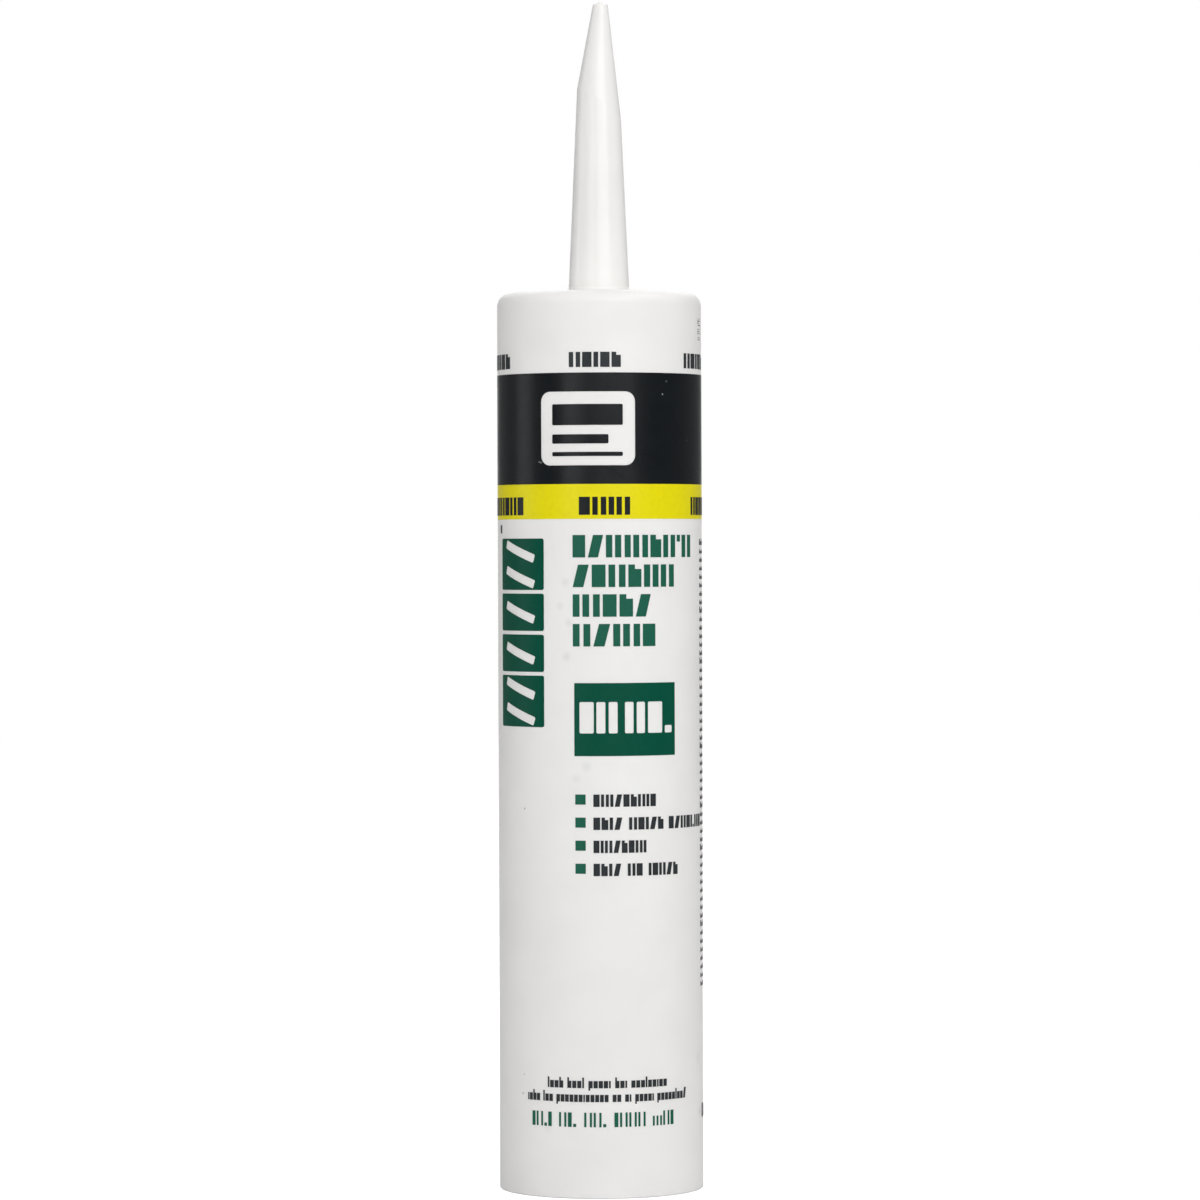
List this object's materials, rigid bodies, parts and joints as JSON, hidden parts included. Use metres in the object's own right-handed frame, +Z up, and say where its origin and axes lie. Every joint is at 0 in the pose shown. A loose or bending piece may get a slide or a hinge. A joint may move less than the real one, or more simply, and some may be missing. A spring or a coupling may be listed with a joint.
{
  "type": "caulk tube",
  "caption": "Sealant cartridge with a round barrel, flat shoulder, tapered closed nozzle with a leaning tip, a sliding plunger inside and bands of print.",
  "frame": {"origin": "centre of the barrel's open rear rim, in the plane that the cartridge stands on", "axes": "+Z up the barrel to the closed nozzle tip; the front of the print faces -Y; +X to the right of the print, the way the nozzle's tip leans"},
  "size_m": [0.0496, 0.0496, 0.2879],
  "materials": {
    "cartridge_moulding": "satin white polyethylene moulding",
    "plunger_moulding": "satin natural polyethylene moulding",
    "sealant_paste": "smooth wet paste",
    "black_ink": "satin printed ink",
    "yellow_ink": "satin printed ink",
    "green_ink": "satin printed ink"
  },
  "bodies": {
    "cartridge": {"cartridge": "cartridge_moulding", "sealant": "sealant_paste", "black_print": "black_ink", "yellow_print": "yellow_ink", "green_print": "green_ink"},
    "plunger": {"plunger": "plunger_moulding"}
  },
  "joints": [
    {"name": "plunger_slide", "type": "slide", "parent": "cartridge", "child": "plunger", "axis": [0, 0, 1], "range_m": [0, 0.1765], "deforming": ["sealant"]}
  ]
}
